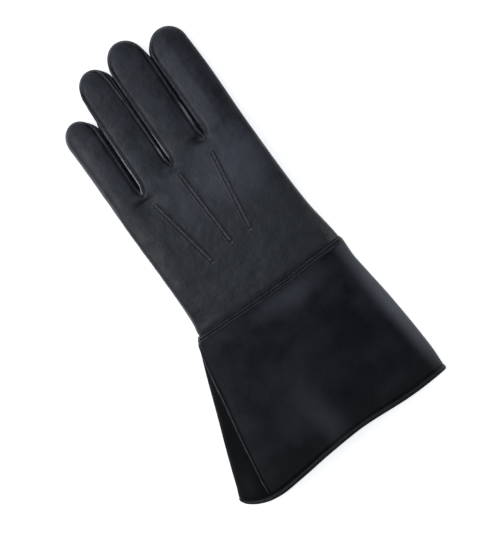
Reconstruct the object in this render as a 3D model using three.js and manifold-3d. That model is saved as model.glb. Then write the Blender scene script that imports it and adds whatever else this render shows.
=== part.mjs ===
// Left-hand gauntlet glove of plain leather, lying back up with its thumb folded under the palm.
// Sizes are in millimetres. x runs across the hand towards the thumb side, y towards the fingertips
// and z up from the surface that the glove lies on. The measuring frame's zero is the middle of the
// wrist seam. Every piece is an open wall of leather, sewn to its neighbours with a fine gap.
import * as THREE from 'three';
import Module from 'manifold-3d';

const wasm = await Module();
wasm.setup();

// Leather and seams
const HAND_LEATHER = 1.2;
const FOURCHETTE_LEATHER = 1.0;
const CUFF_LEATHER = 1.6;
const BINDING_LEATHER = 0.9;
const SEAM_GAP = 0.3;

// Roundness of a section: 2 is an ellipse, and a larger power is flatter with tighter sides
const BACK_ROUND = 2.6;
const PALM_ROUND = 3.8;

// Sides of each finger where its web begins and where its tip begins to round, the y of its tip and
// the length of the rounding. The outer sides of the little and index finger are in SIDES.
const FINGERS = [
  { rightRoot: -40.6, rightEnd: -39.8, tip: 178.3, round: 15 },
  { leftRoot: -36.2, leftEnd: -35.4, rightRoot: -10.6, rightEnd: -9.2, tip: 203.0, round: 16 },
  { leftRoot: -7.6, leftEnd: -7.8, rightRoot: 20.2, rightEnd: 21.0, tip: 208.3, round: 17 },
  { leftRoot: 24.6, leftEnd: 23.6, tip: 199.4, round: 15 },
];

// The three webs, with the x at the wrist of the line that carries each on down the hand
const WEBS = [
  { x: -38.6, y: 106.8, wrist: -35.5 },
  { x: -9.0, y: 112.6, wrist: -4.7 },
  { x: 22.4, y: 115.8, wrist: 27.1 },
];
const WEB_ROUND = 3.5;
const OUTER_WEB_Y = { little: 104, index: 118 };

// Outline of the hand on its little-finger side and on its thumb side
const HAND_END = -5;
const SIDES = [
  { y: -5, left: -61.6, right: 60.0 },
  { y: 12, left: -60.9, right: 59.6 },
  { y: 22, left: -60.6, right: 58.0 },
  { y: 34, left: -60.6, right: 56.2 },
  { y: 60, left: -61.2, right: 54.6 },
  { y: 90, left: -62.1, right: 53.8 },
  { y: 117, left: -62.4, right: 53.4 },
  { y: 150, left: -63.0, right: 53.6 },
  { y: 163, left: -63.4, right: 53.3 },
  { y: 185, left: -63.4, right: 52.3 },
];

// Heights along the hand and fingers: back, underside and the level of the side seam
const HEIGHTS = [
  { y: -5, back: 24.5, under: 4.5, side: 13.5 },
  { y: 30, back: 24.5, under: 4.5, side: 13.5 },
  { y: 60, back: 23.6, under: 3.8, side: 13.0 },
  { y: 90, back: 21.8, under: 2.4, side: 12.0 },
  { y: 110, back: 19.6, under: 0.8, side: 10.4 },
  { y: 125, back: 17.6, under: -0.4, side: 8.8 },
  { y: 145, back: 15.8, under: -0.6, side: 7.5 },
  { y: 165, back: 15.2, under: -0.6, side: 7.2 },
  { y: 209, back: 14.8, under: -0.6, side: 7.2 },
];

// Levels of the fourchettes' two seams, by the distance past the web
const SEAMS = [
  { past: 0, back: 14.2, palm: 5.2 },
  { past: 14, back: 12.2, palm: 4.6 },
  { past: 32, back: 10.6, palm: 4.2 },
  { past: 55, back: 10.2, palm: 4.2 },
];
const WEB_BLEND = { from: -22, to: 6 };
// The back's and the palm's seams close on each other from just below a tip's rounding to near its end
const SEAM_CLOSES = { below: 8, end: 0.2 };
// How full a tip stays as it narrows: 1 is a cone, and a smaller power is blunter
const TIP_FULLNESS = 0.8;

// Nets of the hand: columns across each finger, and rows from the wrist to the webs to the tips
const LITTLE_COLUMNS = [-1, -0.97, -0.86, -0.6, -0.15, 0.35, 0.8, 1];
const INNER_COLUMNS = [-1, -0.88, -0.55, -0.18, 0.18, 0.55, 0.88, 1];
const INDEX_COLUMNS = LITTLE_COLUMNS.map((t) => -t).reverse();
const COLUMNS = [LITTLE_COLUMNS, INNER_COLUMNS, INNER_COLUMNS, INDEX_COLUMNS];
const WEB_ROW = 13;
const FINGER_STEPS = [0.02, 0.055, 0.12, 0.3, 0.52, 0.76, 1];
const TIP_ANGLES = [22, 43, 61, 75, 86];
const LAST_ROW = WEB_ROW + FINGER_STEPS.length + TIP_ANGLES.length;
const FOURCHETTE_ROW = WEB_ROW + FINGER_STEPS.length + 1;
const FOURCHETTE_LEVELS = 3;

// Three raised points on the back of the hand, each a tuck sewn from the knuckles towards the wrist
const POINTS = [
  { fromX: -35.5, fromY: 96.5, toX: -24.1, toY: 38.4 },
  { fromX: -8.1, fromY: 105.2, toX: -5.0, toY: 42.6 },
  { fromX: 20.2, fromY: 105.2, toX: 11.5, toY: 42.8 },
];
const POINT = { width: 2.6, height: 1.1, edge: 0.1, top: 0.5, sunk: 0.7, end: 0.5, steps: 9 };

// The thumb lies flat across the palm from its root to its tip
const THUMB = {
  rootX: 52, rootY: 29, tipX: -24, tipY: 97, height: 7.2,
  rootHalf: 14.8, tipHalf: 14.0, rootRound: 15, tipRound: 17, flattened: 0.5, fullness: 0.6, sides: 20,
};
const THUMB_END_ANGLES = [84, 68, 48, 25, 0];
const THUMB_BODY_STEPS = [0.25, 0.5, 0.75];
const THUMB_HOLE = { centre: 34, long: 21, wide: 10.5, from: 4, to: 16, sides: 24 };
const THUMB_CLEAR = 0.35;
const THUMB_PRESS = { from: 18, to: 36 };

// Outline and heights of the cuff
const CUFF = [
  { y: -126, left: -105.2, right: 70.8, back: 30.6, under: 0.6, side: 14.4 },
  { y: -114, left: -105.0, right: 70.6, back: 30.4, under: 0.6, side: 14.3 },
  { y: -104, left: -101.8, right: 70.8, back: 30.2, under: -0.8, side: 14.2 },
  { y: -82, left: -94.4, right: 69.6, back: 29.4, under: -0.8, side: 13.8 },
  { y: -52, left: -83.6, right: 66.8, back: 28.2, under: -0.8, side: 13.4 },
  { y: -28, left: -75.2, right: 63.6, back: 27.2, under: -0.4, side: 13.2 },
  { y: -12, left: -69.2, right: 61.8, back: 26.7, under: 1.2, side: 13.4 },
  { y: 2, left: -64.2, right: 62.0, back: 26.6, under: 2.4, side: 13.5 },
];

// The seam that laps the cuff over the hand, and the hem's edge, on the cuff's left to right
const WRIST_SEAM = [
  { x: -65, y: 0.4 },
  { x: 0, y: 0.4 },
  { x: 30, y: 1.2 },
  { x: 62, y: 2.4 },
];
const HEM = [
  { x: -106.3, y: -114.8 },
  { x: -103, y: -118.4 },
  { x: -96, y: -122.6 },
  { x: -86, y: -125.6 },
  { x: -78, y: -126.2 },
  { x: -60, y: -124.6 },
  { x: -30, y: -121.0 },
  { x: 0, y: -118.9 },
  { x: 40, y: -120.3 },
  { x: 71.8, y: -118.8 },
];
// The binding lies under the end of the cuff's leather, which rises to make room for it
const HEM_FLOOR = BINDING_LEATHER + SEAM_GAP;
const HEM_RISE = { from: 0.84, to: 0.94 };
const BINDING_WIDTH = 4;

// Width of the gusset on each face of the cuff, from its point below the wrist to the hem
const GUSSET = [
  { y: -126, width: 20.6 },
  { y: -102, width: 18.0 },
  { y: -76, width: 12.7 },
  { y: -50, width: 7.7 },
  { y: -25, width: 2.6 },
  { y: -13, width: 0.9 },
];
const CUFF_STEPS = [0, 0.06, 0.11, 0.19, 0.28, 0.37, 0.46, 0.55, 0.64, 0.73, 0.82, 0.91, 0.965, 1];
const GUSSET_SIDE = -0.8;
const CUFF_AT_WRIST = CUFF[CUFF.length - 1];
const SEAM_SHARE = SEAM_GAP / (CUFF_AT_WRIST.right - CUFF_AT_WRIST.left);
const GUSSET_POINT_STEP = 1;
const GUSSET_POINT_SHARE = 0.35;
const CUFF_COLUMNS = [0, 0.01, 0.045, 0.13, 0.27, 0.42, 0.57, 0.71, 0.83, 0.915, 0.966, 0.992, 1];
const GUSSET_COLUMNS = [0, 0.32, 0.62, 0.84, 0.96, 1];

const HAND_COLOUR = 0x32363c;
const CUFF_COLOUR = 0x1c1d20;

const { lerp, clamp, smoothstep, degToRad } = THREE.MathUtils;

// Reads a named column of a table at a place between its rows
function read(table, by, at, column) {
  const next = table.findIndex((row) => row[by] > at);
  if (next === 0) return table[0][column];
  if (next < 0) return table[table.length - 1][column];
  const a = table[next - 1];
  const b = table[next];
  return lerp(a[column], b[column], (at - a[by]) / (b[by] - a[by]));
}

// Height of a rounded section, 1 in its middle and 0 at its sides
function swell(t, power) {
  return (1 - Math.min(1, Math.abs(t)) ** power) ** (1 / power);
}

function meshFrom(points, index) {
  let volume = 0;
  for (let i = 0; i < index.length; i += 3) {
    const [a, b, c] = [points[index[i]], points[index[i + 1]], points[index[i + 2]]];
    volume += a.dot(new THREE.Vector3().crossVectors(b, c));
  }
  const facing = volume < 0 ? index.slice().reverse() : index;
  const geometry = new THREE.BufferGeometry();
  geometry.setFromPoints(points);
  geometry.setIndex(facing);
  return geometry;
}

// Closes an outer and an inner copy of one net of quads into a wall, with a rim along its open edges
function wall(outer, inner, quads) {
  const count = outer.length;
  const index = [];
  const openEdges = new Map();
  for (const [a, b, c, d] of quads) {
    index.push(a, b, c, a, c, d);
    index.push(count + a, count + c, count + b, count + a, count + d, count + c);
    for (const [p, q] of [[a, b], [b, c], [c, d], [d, a]]) {
      if (!openEdges.delete(`${q} ${p}`)) openEdges.set(`${p} ${q}`, [p, q]);
    }
  }
  for (const [p, q] of openEdges.values()) {
    index.push(q, p, count + p, q, count + p, count + q);
  }
  return meshFrom([...outer, ...inner], index);
}

// A wall on a plain grid: place(row, column, inner) gives its points
function gridWall(rows, columns, place) {
  const outer = [];
  const inner = [];
  const quads = [];
  for (let row = 0; row < rows; row += 1) {
    for (let column = 0; column < columns; column += 1) {
      outer.push(place(row, column, false));
      inner.push(place(row, column, true));
      if (row === 0 || column === 0) continue;
      const corner = row * columns + column;
      quads.push([corner, corner - 1, corner - 1 - columns, corner - columns]);
    }
  }
  return wall(outer, inner, quads);
}

// A closed body through rings of points, with a fan on each end; looped joins its last ring to its first
function loft(rings, looped = false) {
  const sides = rings[0].length;
  const points = rings.flat();
  const index = [];
  const spans = looped ? rings.length : rings.length - 1;
  for (let ring = 0; ring < spans; ring += 1) {
    for (let side = 0; side < sides; side += 1) {
      const next = (side + 1) % sides;
      const [a, b] = [ring * sides + side, ring * sides + next];
      const above = ((ring + 1) % rings.length) * sides;
      const [c, d] = [above + side, above + next];
      index.push(a, b, d, a, d, c);
    }
  }
  if (!looped) {
    for (const [ring, turned] of [[0, true], [rings.length - 1, false]]) {
      const centre = points.length;
      points.push(rings[ring].reduce((sum, p) => sum.add(p), new THREE.Vector3()).divideScalar(sides));
      for (let side = 0; side < sides; side += 1) {
        const [a, b] = [ring * sides + side, ring * sides + ((side + 1) % sides)];
        index.push(...(turned ? [b, a, centre] : [a, b, centre]));
      }
    }
  }
  return meshFrom(points, index);
}

function toSolid(geometry) {
  return new wasm.Manifold(new wasm.Mesh({
    numProp: 3,
    vertProperties: new Float32Array(geometry.getAttribute('position').array),
    triVerts: new Uint32Array(geometry.getIndex().array),
  }));
}

function fromSolid(solid) {
  const mesh = solid.getMesh();
  const geometry = new THREE.BufferGeometry();
  geometry.setAttribute('position', new THREE.BufferAttribute(new Float32Array(mesh.vertProperties), 3));
  geometry.setIndex(new THREE.BufferAttribute(new Uint32Array(mesh.triVerts), 1));
  return geometry;
}

// Height at which the palm lies: low beside the thumb, and on top of the thumb where it lies beneath
const thumbRoot = new THREE.Vector2(THUMB.rootX, THUMB.rootY);
const thumbTip = new THREE.Vector2(THUMB.tipX, THUMB.tipY);
const thumbLength = thumbRoot.distanceTo(thumbTip);
const thumbAlong = thumbTip.clone().sub(thumbRoot).normalize();

function thumbDistance(x, y) {
  const away = new THREE.Vector2(x, y).sub(thumbRoot);
  const along = clamp(away.dot(thumbAlong), THUMB.rootRound, thumbLength - THUMB.tipRound);
  return away.distanceTo(thumbAlong.clone().multiplyScalar(along));
}

function palmFloor(x, y) {
  const pressed = 1 - smoothstep(thumbDistance(x, y), THUMB_PRESS.from, THUMB_PRESS.to);
  return lerp(read(HEIGHTS, 'y', y, 'under'), THUMB.height + THUMB_CLEAR, pressed);
}

// y at which the web line crosses a finger, t running from -1 at its left side to 1 at its right
function webY(finger, t) {
  const left = finger > 0 ? WEBS[finger - 1].y : OUTER_WEB_Y.little;
  const right = finger < WEBS.length ? WEBS[finger].y : OUTER_WEB_Y.index;
  return lerp(left, right, (t + 1) / 2);
}

// x of a finger's left (-1) or right (1) side, or of the line that carries it on down the hand
function sideX(finger, side, y, inset) {
  const boundary = finger + (side + 1) / 2;
  if (boundary === 0) return read(SIDES, 'y', y, 'left') + inset;
  if (boundary === FINGERS.length) return read(SIDES, 'y', y, 'right') - inset;
  const web = WEBS[boundary - 1];
  const start = web.y - inset;
  if (y <= start) return lerp(web.wrist, web.x, (y - HAND_END) / (start - HAND_END));
  const { tip, round, ...edges } = FINGERS[finger];
  const [root, end] = side < 0 ? [edges.leftRoot, edges.leftEnd] : [edges.rightRoot, edges.rightEnd];
  const straight = lerp(root, end, (y - web.y) / (tip - round - web.y)) - side * inset;
  const opened = Math.min(1, (y - start) / (WEB_ROUND + inset));
  return lerp(web.x, straight, Math.sqrt(1 - (1 - opened) ** 2));
}

// Height of the back (face 1) or the underside (face -1) at a place on a finger or its part of the hand
function handHeight(face, finger, x, y, t, narrow, inset) {
  const { tip, round } = FINGERS[finger];
  const power = face > 0 ? BACK_ROUND : PALM_ROUND;
  const crest = face > 0 ? read(HEIGHTS, 'y', y, 'back') - inset : palmFloor(x, y) + inset;
  const sideSeam = read(HEIGHTS, 'y', y, 'side') + face * SEAM_GAP / 2;
  const left = read(SIDES, 'y', y, 'left') + inset;
  const right = read(SIDES, 'y', y, 'right') - inset;
  const whole = sideSeam + (crest - sideSeam) * swell((2 * x - left - right) / (right - left), power);
  const past = y - webY(finger, t);
  const outerSide = (finger === 0 && t < 0) || (finger === FINGERS.length - 1 && t > 0);
  const closing = smoothstep(y, tip - round - SEAM_CLOSES.below, tip - SEAM_CLOSES.end * round);
  const innerSeam = lerp(read(SEAMS, 'past', past, face > 0 ? 'back' : 'palm'), sideSeam, closing);
  const seam = outerSide ? sideSeam : innerSeam;
  const single = seam + (crest - seam) * swell(t, power) * narrow ** TIP_FULLNESS;
  const height = lerp(whole, single, smoothstep(past, WEB_BLEND.from, WEB_BLEND.to));
  return face > 0 ? height : Math.max(height, inset);
}

// A point of the hand's net, from the wrist (row 0) through the webs to the fingertips
function handPoint(face, finger, row, t, inset) {
  const { tip, round } = FINGERS[finger];
  const start = tip - round;
  const web = webY(finger, t) - inset;
  const step = row - WEB_ROW - 1;
  let y = lerp(HAND_END, web, row / WEB_ROW);
  let narrow = 1;
  if (step >= FINGER_STEPS.length) {
    const angle = degToRad(TIP_ANGLES[step - FINGER_STEPS.length]);
    y = start + (round - inset) * Math.sin(angle);
    narrow = Math.cos(angle);
  } else if (step >= 0) {
    y = lerp(web, start, FINGER_STEPS[step]);
  }
  const left = sideX(finger, -1, Math.min(y, start), inset);
  const right = sideX(finger, 1, Math.min(y, start), inset);
  const x = (left + right) / 2 + ((right - left) / 2) * narrow * t;
  return new THREE.Vector3(x, y, handHeight(face, finger, x, y, t, narrow, inset));
}

// One face of the hand with its four fingers, slit between the fingers down to the webs
function handFace(face) {
  const outer = [];
  const inner = [];
  const quads = [];
  const known = new Map();
  const corner = (finger, row, column) => {
    const last = COLUMNS[finger].length - 1;
    const shared = row <= WEB_ROW && column === last && finger < FINGERS.length - 1;
    const [owner, place] = shared ? [finger + 1, 0] : [finger, column];
    const key = `${owner} ${row} ${place}`;
    if (!known.has(key)) {
      known.set(key, outer.length);
      outer.push(handPoint(face, owner, row, COLUMNS[owner][place], 0));
      inner.push(handPoint(face, owner, row, COLUMNS[owner][place], HAND_LEATHER));
    }
    return known.get(key);
  };
  FINGERS.forEach((_, finger) => {
    for (let row = 1; row <= LAST_ROW; row += 1) {
      for (let column = 1; column < COLUMNS[finger].length; column += 1) {
        quads.push([
          corner(finger, row - 1, column - 1), corner(finger, row - 1, column),
          corner(finger, row, column), corner(finger, row, column - 1),
        ]);
      }
    }
  });
  return wall(outer, inner, quads);
}

// Height of the back of the hand at any place below the webs
function backHeight(x, y) {
  const finger = FINGERS.findIndex((_, k) => x <= sideX(k, 1, y, 0));
  const left = sideX(finger, -1, y, 0);
  const right = sideX(finger, 1, y, 0);
  return handHeight(1, finger, x, y, (2 * x - left - right) / (right - left), 1, 0);
}

function raisedPoint({ fromX, fromY, toX, toY }) {
  const across = new THREE.Vector3(fromY - toY, toX - fromX, 0).normalize();
  const rings = [];
  for (let step = 0; step <= POINT.steps; step += 1) {
    const share = step / POINT.steps;
    const [x, y] = [lerp(fromX, toX, share), lerp(fromY, toY, share)];
    const size = step === 0 || step === POINT.steps ? POINT.end : 1;
    const centre = new THREE.Vector3(x, y, backHeight(x, y));
    const half = (POINT.width / 2) * size;
    const section = [
      { side: -half, up: -POINT.sunk },
      { side: half, up: -POINT.sunk },
      { side: half, up: POINT.edge },
      { side: half * POINT.top, up: POINT.height * size },
      { side: -half * POINT.top, up: POINT.height * size },
      { side: -half, up: POINT.edge },
    ];
    rings.push(section.map(({ side, up }) => centre.clone()
      .addScaledVector(across, side)
      .add(new THREE.Vector3(0, 0, up))));
  }
  return loft(rings);
}

// Strip that walls the gap between two fingers: down one finger's side, round the web and up the next
function fourchette(finger) {
  const stations = [];
  for (let row = FOURCHETTE_ROW; row > WEB_ROW; row -= 1) stations.push({ finger, row, t: 1 });
  for (let row = WEB_ROW; row <= FOURCHETTE_ROW; row += 1) stations.push({ finger: finger + 1, row, t: -1 });
  return gridWall(stations.length, FOURCHETTE_LEVELS, (place, level, isInner) => {
    const { finger: owner, row, t } = stations[place];
    const inset = isInner ? FOURCHETTE_LEATHER : 0;
    const upper = handPoint(1, owner, row, t, inset);
    const lower = handPoint(-1, owner, row, t, inset);
    const share = level / (FOURCHETTE_LEVELS - 1);
    return upper.setZ(lerp(lower.z + SEAM_GAP, upper.z - SEAM_GAP, share));
  });
}

// A place on or beside the thumb: along it from its root, and across it
const thumbAcross = new THREE.Vector2(-thumbAlong.y, thumbAlong.x);

function thumbPlan(along, across) {
  return thumbRoot.clone().addScaledVector(thumbAlong, along).addScaledVector(thumbAcross, across);
}

// The rings of the thumb's pouch: how far along each lies, and how much its end narrows it
function thumbStations(inset) {
  const tipStart = thumbLength - THUMB.tipRound;
  const ends = THUMB_END_ANGLES.map((degrees) => ({
    reach: Math.sin(degToRad(degrees)),
    narrow: Math.cos(degToRad(degrees)),
  }));
  return [
    ...ends.map(({ reach, narrow }) => (
      { along: THUMB.rootRound - (THUMB.rootRound - inset) * reach, narrow })),
    ...THUMB_BODY_STEPS.map((share) => (
      { along: lerp(THUMB.rootRound, tipStart, share), narrow: 1 })),
    ...ends.reverse().map(({ reach, narrow }) => (
      { along: tipStart + (THUMB.tipRound - inset) * reach, narrow })),
  ];
}

// Flat pouch of the thumb, in rings from its root to its tip
function thumbBody(inset) {
  const middle = THUMB.height / 2;
  const corner = (value) => Math.sign(value) * Math.abs(value) ** (2 / BACK_ROUND);
  return loft(thumbStations(inset).map(({ along, narrow }) => {
    const half = (lerp(THUMB.rootHalf, THUMB.tipHalf, along / thumbLength) - inset) * narrow;
    const rise = (middle + THUMB.flattened - inset) * narrow ** THUMB.fullness;
    return Array.from({ length: THUMB.sides }, (_, side) => {
      const angle = (2 * Math.PI * (side + 0.5)) / THUMB.sides;
      const plan = thumbPlan(along, corner(Math.cos(angle)) * half);
      const height = middle + corner(Math.sin(angle)) * rise;
      return new THREE.Vector3(plan.x, plan.y, clamp(height, inset, THUMB.height - inset));
    });
  }));
}

// Oval through the palm and the thumb's upper wall, where a thumb goes in
function thumbHole() {
  const { centre, long, wide, sides } = THUMB_HOLE;
  return loft([THUMB_HOLE.from, THUMB_HOLE.to].map((z) => (
    Array.from({ length: sides }, (_, side) => {
      const angle = (2 * Math.PI * side) / sides;
      const plan = thumbPlan(centre + long * Math.cos(angle), wide * Math.sin(angle));
      return new THREE.Vector3(plan.x, plan.y, z);
    })
  )));
}

// A point of the cuff: across runs from -1 on the gusset side to 1 on the thumb side, face is 1 on
// the back and -1 on the palm side, and share runs from the wrist seam to the end of the leather
function cuffPoint(face, across, share, inset, beyond = 0) {
  const atWrist = lerp(CUFF_AT_WRIST.left, CUFF_AT_WRIST.right, (across + 1) / 2);
  const atHem = lerp(HEM[0].x, HEM[HEM.length - 1].x, (across + 1) / 2);
  const start = read(WRIST_SEAM, 'x', atWrist, 'y');
  const end = read(HEM, 'x', atHem, 'y') + HEM_FLOOR;
  const y = lerp(start, end, share) - beyond;
  const left = read(CUFF, 'y', y, 'left') + inset;
  const right = read(CUFF, 'y', y, 'right') - inset;
  const side = read(CUFF, 'y', y, 'side') + face * SEAM_GAP / 2;
  const crest = face > 0 ? read(CUFF, 'y', y, 'back') - inset : read(CUFF, 'y', y, 'under') + inset;
  const height = side + (crest - side) * swell(across, face > 0 ? BACK_ROUND : PALM_ROUND);
  const atRest = inset + HEM_FLOOR * smoothstep(share, HEM_RISE.from, HEM_RISE.to);
  return new THREE.Vector3(
    lerp(left, right, (across + 1) / 2), y, face > 0 ? height : Math.max(height, atRest));
}

// Where the gusset's seam crosses a row of the cuff, as a place across it
function gussetSeam(step) {
  if (step <= GUSSET_POINT_STEP) return -1;
  const { y } = cuffPoint(1, GUSSET_SIDE, CUFF_STEPS[step], 0);
  const width = read(CUFF, 'y', y, 'right') - read(CUFF, 'y', y, 'left');
  return -1 + (2 * read(GUSSET, 'y', y, 'width')) / width;
}

function cuffPanel() {
  const columns = CUFF_COLUMNS.length;
  return gridWall(CUFF_STEPS.length, 2 * columns - 1, (step, column, isInner) => {
    const face = column < columns ? 1 : -1;
    const share = CUFF_COLUMNS[face > 0 ? column : 2 * columns - 2 - column];
    const seam = gussetSeam(step);
    const from = seam > -1 ? seam + SEAM_SHARE : -1;
    return cuffPoint(face, lerp(from, 1, share), CUFF_STEPS[step], isInner ? CUFF_LEATHER : 0);
  });
}

function cuffGusset() {
  const columns = GUSSET_COLUMNS.length;
  const first = GUSSET_POINT_STEP + 1;
  const place = (step, column, isInner) => {
    const face = column < columns ? 1 : -1;
    const share = GUSSET_COLUMNS[face > 0 ? column : 2 * columns - 2 - column];
    const across = lerp(gussetSeam(step) - SEAM_SHARE, -1, share);
    return cuffPoint(face, across, CUFF_STEPS[step], isInner ? CUFF_LEATHER : 0);
  };
  return gridWall(CUFF_STEPS.length - first + 1, 2 * columns - 1, (row, column, isInner) => {
    if (row > 0) return place(first + row - 1, column, isInner);
    const inset = isInner ? CUFF_LEATHER : 0;
    const end = cuffPoint(1, -1, CUFF_STEPS[GUSSET_POINT_STEP], inset);
    end.z -= SEAM_GAP / 2;
    return end.lerp(place(first, column, isInner), GUSSET_POINT_SHARE);
  });
}

// Strip folded over the end of the cuff and gusset, all round the mouth
function hemBinding() {
  const outside = -SEAM_GAP - BINDING_LEATHER;
  const inside = CUFF_LEATHER - outside;
  const fold = [
    { depth: BINDING_WIDTH, inset: outside },
    { depth: 0, inset: outside },
    { depth: outside, inset: -SEAM_GAP },
    { depth: outside, inset: CUFF_LEATHER + SEAM_GAP },
    { depth: 0, inset: inside },
    { depth: BINDING_WIDTH, inset: inside },
    { depth: BINDING_WIDTH, inset: CUFF_LEATHER + SEAM_GAP },
    { depth: -SEAM_GAP, inset: CUFF_LEATHER + SEAM_GAP },
    { depth: -SEAM_GAP, inset: -SEAM_GAP },
    { depth: BINDING_WIDTH, inset: -SEAM_GAP },
  ];
  const seam = gussetSeam(CUFF_STEPS.length - 1);
  const halfMouth = [
    ...GUSSET_COLUMNS.slice(1).reverse().map((share) => lerp(seam, -1, share)),
    ...CUFF_COLUMNS.map((share) => lerp(seam, 1, share)),
  ];
  const mouth = [
    ...halfMouth.slice(0, -1).map((across) => ({ face: 1, across })),
    ...halfMouth.slice(1).reverse().map((across) => ({ face: -1, across })),
  ];
  const rings = mouth.map(({ face, across }) => (
    fold.map(({ depth, inset }) => cuffPoint(face, across, 1, inset, -depth))
  ));
  return loft(rings, true);
}

function leather(colour) {
  return new THREE.MeshStandardMaterial({ color: colour, roughness: 0.45, metalness: 0 });
}

function piece(name, geometry, colour) {
  geometry.computeVertexNormals();
  const mesh = new THREE.Mesh(geometry, leather(colour));
  mesh.name = name;
  return mesh;
}

const hole = toSolid(thumbHole());
const back = POINTS.reduce((solid, point) => solid.add(toSolid(raisedPoint(point))), toSolid(handFace(1)));
const palm = toSolid(handFace(-1)).subtract(hole);
const thumb = toSolid(thumbBody(0)).subtract(toSolid(thumbBody(HAND_LEATHER))).subtract(hole);

const glove = new THREE.Group();
glove.name = 'gauntlet_glove';
glove.add(piece('hand_back', fromSolid(back), HAND_COLOUR));
glove.add(piece('hand_palm', fromSolid(palm), HAND_COLOUR));
glove.add(piece('fourchette_little_ring', fourchette(0), HAND_COLOUR));
glove.add(piece('fourchette_ring_middle', fourchette(1), HAND_COLOUR));
glove.add(piece('fourchette_middle_index', fourchette(2), HAND_COLOUR));
glove.add(piece('thumb', fromSolid(thumb), HAND_COLOUR));
glove.add(piece('cuff', cuffPanel(), CUFF_COLOUR));
glove.add(piece('cuff_gusset', cuffGusset(), CUFF_COLOUR));
glove.add(piece('hem_binding', hemBinding(), CUFF_COLOUR));

// The row's origin is under the middle of the whole glove, on the surface
const middle = new THREE.Box3().setFromObject(glove).getCenter(new THREE.Vector3());
glove.position.set(-middle.x, -middle.y, 0);

export default glove;
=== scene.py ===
"""A left-hand gauntlet glove of black leather, lying back up with its thumb folded under the palm.

Shapes are worked out in millimetres in the glove's own measuring frame: x across the hand to the
thumb side, y to the fingertips, z up from the table, zero in the middle of the wrist seam. `place`
turns them into metres in the row's frame.
"""

import math
import random

import bmesh
import bpy
from mathutils import Matrix, Vector, noise
from mathutils.bvhtree import BVHTree


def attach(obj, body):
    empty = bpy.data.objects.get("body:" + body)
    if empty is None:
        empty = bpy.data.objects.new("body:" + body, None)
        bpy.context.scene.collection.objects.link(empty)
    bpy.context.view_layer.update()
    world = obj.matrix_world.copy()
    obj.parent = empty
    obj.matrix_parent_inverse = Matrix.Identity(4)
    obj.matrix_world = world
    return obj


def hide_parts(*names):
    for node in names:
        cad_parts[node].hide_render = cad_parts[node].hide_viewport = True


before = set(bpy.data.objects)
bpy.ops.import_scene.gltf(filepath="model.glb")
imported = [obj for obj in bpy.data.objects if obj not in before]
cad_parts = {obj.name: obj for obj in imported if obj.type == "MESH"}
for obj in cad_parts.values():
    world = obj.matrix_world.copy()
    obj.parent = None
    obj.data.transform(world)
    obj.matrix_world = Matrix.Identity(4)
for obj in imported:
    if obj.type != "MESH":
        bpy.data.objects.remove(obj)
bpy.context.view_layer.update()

MM = 0.001
# From the measuring frame to the row's
ROW_X, ROW_Y = 17.106, -41.052
# About half the glove's height
MIDDLE_LEVEL = 12
BACK, PALM = 1, -1


def place(point):
    """A point of the measuring frame, in metres in the row's frame."""
    return Vector(((point[0] + ROW_X) * MM, (point[1] + ROW_Y) * MM, point[2] * MM))


def lerp(a, b, share):
    return a + (b - a) * share


def smooth(value, low, high):
    share = min(1.0, max(0.0, (value - low) / (high - low)))
    return share * share * (3 - 2 * share)


def bell(distance, width):
    """A soft bump: 1 in its middle, near nothing past twice its width."""
    return math.exp(-(distance / width) ** 2)


class Table:
    """Rows of named columns, read by the first column and smooth between the rows."""

    def __init__(self, columns, *rows):
        self.names = columns.split()
        self.rows = rows
        self.at = [row[0] for row in rows]
        self.slopes = [self.gentle_slopes(column) for column in range(len(self.names))]

    def gentle_slopes(self, column):
        """Slopes that never carry a curve past its rows."""
        steps = [(b[column] - a[column]) / (b[0] - a[0]) for a, b in zip(self.rows, self.rows[1:])]
        inner = [0 if a * b <= 0 else 2 * a * b / (a + b) for a, b in zip(steps, steps[1:])]
        return [steps[0], *inner, steps[-1]]

    def read(self, name, at):
        column = self.names.index(name)
        if at <= self.at[0]:
            return self.rows[0][column]
        if at >= self.at[-1]:
            return self.rows[-1][column]
        k = next(i for i, limit in enumerate(self.at) if limit > at) - 1
        span = self.at[k + 1] - self.at[k]
        u = (at - self.at[k]) / span
        a, b = self.rows[k][column], self.rows[k + 1][column]
        up, down = self.slopes[column][k] * span, self.slopes[column][k + 1] * span
        return (a * (1 + 2 * u) * (1 - u) ** 2 + up * u * (1 - u) ** 2
                + b * u * u * (3 - 2 * u) - down * u * u * (1 - u))


# ---- The hand's pattern ----

HAND_LEATHER = 1.2
FOURCHETTE_LEATHER = 1.0
CUFF_LEATHER = 1.6
HAND_END = -5.0
BACK_ROUND, PALM_ROUND = 2.6, 3.8

FINGERS = [
    {"right": (-40.6, -39.8), "tip": 178.3, "round": 15},
    {"left": (-36.2, -35.4), "right": (-10.6, -9.2), "tip": 203.0, "round": 16},
    {"left": (-7.6, -7.8), "right": (20.2, 21.0), "tip": 208.3, "round": 17},
    {"left": (24.6, 23.6), "tip": 199.4, "round": 15},
]
WEBS = [(-38.6, 106.8, -35.5), (-9.0, 112.6, -4.7), (22.4, 115.8, 27.1)]
WEB_OPENS = 7.0
LITTLE_WEB, INDEX_WEB = 104, 118

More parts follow.
